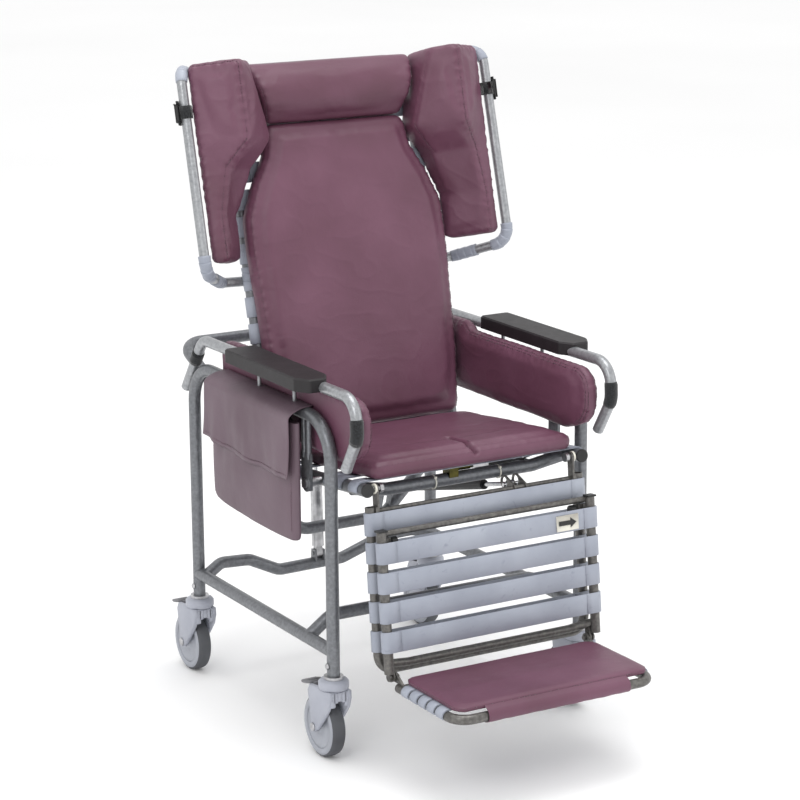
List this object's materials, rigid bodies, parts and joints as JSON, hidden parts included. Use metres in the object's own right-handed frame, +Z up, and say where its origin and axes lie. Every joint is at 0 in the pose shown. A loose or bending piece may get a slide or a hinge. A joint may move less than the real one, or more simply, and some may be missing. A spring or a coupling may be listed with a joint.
{
  "type": "patient recliner chair",
  "caption": "Wheeled patient recliner with tilting seat, reclining back, head wings, side bolsters, side pouch, strap-slung legrest and flip-up footboard.",
  "frame": {"origin": "middle of the bounding box, on the floor under the casters", "axes": "+X to the sitter's left, +Y to the rear, +Z up, so the sitter faces -Y"},
  "size_m": [0.7458, 1.1026, 1.32],
  "materials": {
    "frame_grey": "satin",
    "arm_grey": "satin",
    "leg_grey": "satin",
    "vinyl": "satin",
    "strap_grey": "matte",
    "pad_black": "matte",
    "webbing_black": "matte",
    "plastic_black": "matte",
    "rubber_black": "matte",
    "bolt_steel": "satin",
    "chrome_rod": "polished",
    "brass_head": "satin",
    "caster_grey": "satin",
    "tyre_grey": "matte"
  },
  "bodies": {
    "base": {"side_frame_left": "frame_grey", "side_frame_right": "frame_grey", "cross_tubes": "frame_grey", "caster_stems": "bolt_steel", "arm_loop_left": "arm_grey", "arm_loop_right": "arm_grey", "arm_pad_left": "pad_black", "arm_pad_right": "pad_black", "arm_straps": "webbing_black", "side_bolster_left": "vinyl", "side_bolster_right": "vinyl", "side_pouch": "vinyl", "pouch_flap": "vinyl"},
    "seat_frame": {"seat_frame_tube": "frame_grey", "seat_front_tube": "frame_grey", "seat_hanger": "frame_grey", "rail_end_caps": "plastic_black", "seat_straps": "strap_grey", "seat_cushion": "vinyl", "pivot_bolts": "bolt_steel", "release_valve": "brass_head", "release_cable": "rubber_black"},
    "release_lever": {"release_lever": "bolt_steel"},
    "back_frame": {"back_hoop": "frame_grey", "back_straps": "strap_grey", "back_cushion": "vinyl", "head_pillow": "vinyl", "wing_straps": "webbing_black", "wing_loop_left": "arm_grey", "wing_loop_right": "arm_grey", "wing_pad_left": "vinyl", "wing_pad_right": "vinyl"},
    "legrest": {"legrest_frame": "leg_grey", "legrest_straps": "strap_grey"},
    "calf_frame": {"calf_frame": "leg_grey", "calf_straps": "strap_grey", "tube_caps": "plastic_black"},
    "lock_knob_left": {"lock_knob_left": "plastic_black"},
    "lock_knob_right": {"lock_knob_right": "plastic_black"},
    "footboard": {"foot_frame": "leg_grey", "foot_straps": "strap_grey", "foot_pad": "vinyl"},
    "tilt_cylinder": {"tilt_cylinder": "plastic_black"},
    "tilt_rod": {"tilt_rod": "chrome_rod"},
    "recline_cylinder": {"recline_cylinder": "plastic_black"},
    "recline_rod": {"recline_rod": "chrome_rod"},
    "legrest_cylinder": {"legrest_cylinder": "plastic_black"},
    "legrest_rod": {"legrest_rod": "chrome_rod"},
    "caster_fork_fl": {"caster_fork_fl": "caster_grey"},
    "caster_wheel_fl": {"caster_wheel_fl": "tyre_grey"},
    "brake_pedal_fl": {"brake_pedal_fl": "caster_grey"},
    "caster_fork_fr": {"caster_fork_fr": "caster_grey"},
    "caster_wheel_fr": {"caster_wheel_fr": "tyre_grey"},
    "brake_pedal_fr": {"brake_pedal_fr": "caster_grey"},
    "caster_fork_rl": {"caster_fork_rl": "caster_grey"},
    "caster_wheel_rl": {"caster_wheel_rl": "tyre_grey"},
    "brake_pedal_rl": {"brake_pedal_rl": "caster_grey"},
    "caster_fork_rr": {"caster_fork_rr": "caster_grey"},
    "caster_wheel_rr": {"caster_wheel_rr": "tyre_grey"},
    "brake_pedal_rr": {"brake_pedal_rr": "caster_grey"}
  },
  "joints": [
    {"name": "tilt", "type": "hinge", "parent": "base", "child": "seat_frame", "pos_m": [0, -0.0934, 0.5357], "axis": [-1, 0, 0], "range_deg": [0, 15]},
    {"name": "recline", "type": "hinge", "parent": "seat_frame", "child": "back_frame", "pos_m": [0, 0.1826, 0.507], "axis": [-1, 0, 0], "range_deg": [0, 42]},
    {"name": "legrest_lift", "type": "hinge", "parent": "seat_frame", "child": "legrest", "pos_m": [0, -0.2464, 0.552], "axis": [-1, 0, 0], "range_deg": [0, 80]},
    {"name": "calf_slide", "type": "slide", "parent": "legrest", "child": "calf_frame", "axis": [0, -0.0983, -0.9952], "range_m": [0, 0.09]},
    {"name": "footboard_flip", "type": "hinge", "parent": "calf_frame", "child": "footboard", "pos_m": [0, -0.3117, 0.1979], "axis": [-1, 0, 0], "range_deg": [0, 66]},
    {"name": "knob_left_pull", "type": "slide", "parent": "calf_frame", "child": "lock_knob_left", "axis": [-1, 0, 0], "range_m": [0, 0.006], "stiffness_N_per_m": 600, "springref_m": -0.01},
    {"name": "knob_right_pull", "type": "slide", "parent": "calf_frame", "child": "lock_knob_right", "axis": [1, 0, 0], "range_m": [0, 0.006], "stiffness_N_per_m": 600, "springref_m": -0.01},
    {"name": "release_lever_turn", "type": "hinge", "parent": "seat_frame", "child": "release_lever", "pos_m": [0, -0.1864, 0.5485], "axis": [-1, 0, 0], "range_deg": [0, 12], "stiffness_Nm_per_rad": 0.3, "springref_deg": -17.19},
    {"name": "tilt_spring_swing", "type": "hinge", "parent": "base", "child": "tilt_cylinder", "pos_m": [0, 0.3936, 0.222], "axis": [1, 0, 0], "range_deg": [0, 4]},
    {"name": "tilt_spring_stroke", "type": "slide", "parent": "tilt_cylinder", "child": "tilt_rod", "axis": [0, 0.0314, 0.9995], "range_m": [-0.128, 0]},
    {"name": "recline_spring_swing", "type": "hinge", "parent": "seat_frame", "child": "recline_cylinder", "pos_m": [0.15, -0.1684, 0.533], "axis": [1, 0, 0], "range_deg": [-0.5, 0]},
    {"name": "recline_spring_stroke", "type": "slide", "parent": "recline_cylinder", "child": "recline_rod", "axis": [0, 0.9717, -0.2362], "range_m": [-0.0442, 0]},
    {"name": "legrest_spring_swing", "type": "hinge", "parent": "seat_frame", "child": "legrest_cylinder", "pos_m": [0.1, 0.2676, 0.385], "axis": [1, 0, 0], "range_deg": [0, 1.4]},
    {"name": "legrest_spring_stroke", "type": "slide", "parent": "legrest_cylinder", "child": "legrest_rod", "axis": [0, -0.9697, 0.2444], "range_m": [0, 0.0636]},
    {"name": "swivel_fl", "type": "hinge", "parent": "base", "child": "caster_fork_fl", "pos_m": [0.2837, -0.1889, 0.16], "axis": [0, 0, 1], "continuous": true},
    {"name": "wheel_fl", "type": "hinge", "parent": "caster_fork_fl", "child": "caster_wheel_fl", "pos_m": [0.2837, -0.1509, 0.0625], "axis": [1, 0, 0], "continuous": true},
    {"name": "brake_fl", "type": "hinge", "parent": "caster_fork_fl", "child": "brake_pedal_fl", "pos_m": [0.2837, -0.1449, 0.139], "axis": [-1, 0, 0], "range_deg": [0, 12]},
    {"name": "swivel_fr", "type": "hinge", "parent": "base", "child": "caster_fork_fr", "pos_m": [-0.2837, -0.1889, 0.16], "axis": [0, 0, 1], "continuous": true},
    {"name": "wheel_fr", "type": "hinge", "parent": "caster_fork_fr", "child": "caster_wheel_fr", "pos_m": [-0.2837, -0.1509, 0.0625], "axis": [1, 0, 0], "continuous": true},
    {"name": "brake_fr", "type": "hinge", "parent": "caster_fork_fr", "child": "brake_pedal_fr", "pos_m": [-0.2837, -0.1449, 0.139], "axis": [-1, 0, 0], "range_deg": [0, 12]},
    {"name": "swivel_rl", "type": "hinge", "parent": "base", "child": "caster_fork_rl", "pos_m": [0.2837, 0.3961, 0.16], "axis": [0, 0, 1], "continuous": true},
    {"name": "wheel_rl", "type": "hinge", "parent": "caster_fork_rl", "child": "caster_wheel_rl", "pos_m": [0.2837, 0.4341, 0.0625], "axis": [1, 0, 0], "continuous": true},
    {"name": "brake_rl", "type": "hinge", "parent": "caster_fork_rl", "child": "brake_pedal_rl", "pos_m": [0.2837, 0.4401, 0.139], "axis": [-1, 0, 0], "range_deg": [0, 12]},
    {"name": "swivel_rr", "type": "hinge", "parent": "base", "child": "caster_fork_rr", "pos_m": [-0.2837, 0.3961, 0.16], "axis": [0, 0, 1], "continuous": true},
    {"name": "wheel_rr", "type": "hinge", "parent": "caster_fork_rr", "child": "caster_wheel_rr", "pos_m": [-0.2837, 0.4341, 0.0625], "axis": [1, 0, 0], "continuous": true},
    {"name": "brake_rr", "type": "hinge", "parent": "caster_fork_rr", "child": "brake_pedal_rr", "pos_m": [-0.2837, 0.4401, 0.139], "axis": [-1, 0, 0], "range_deg": [0, 12]}
  ],
  "couplings": [
    {"joint": "tilt_spring_swing", "follows": "tilt", "ratio": 0.2285},
    {"joint": "tilt_spring_stroke", "follows": "tilt", "m_per_rad": -0.48658},
    {"joint": "recline_spring_swing", "follows": "recline", "ratio": -0.0106},
    {"joint": "recline_spring_stroke", "follows": "recline", "m_per_rad": -0.05967},
    {"joint": "legrest_spring_swing", "follows": "legrest_lift", "ratio": 0.0156},
    {"joint": "legrest_spring_stroke", "follows": "legrest_lift", "m_per_rad": 0.04521}
  ]
}
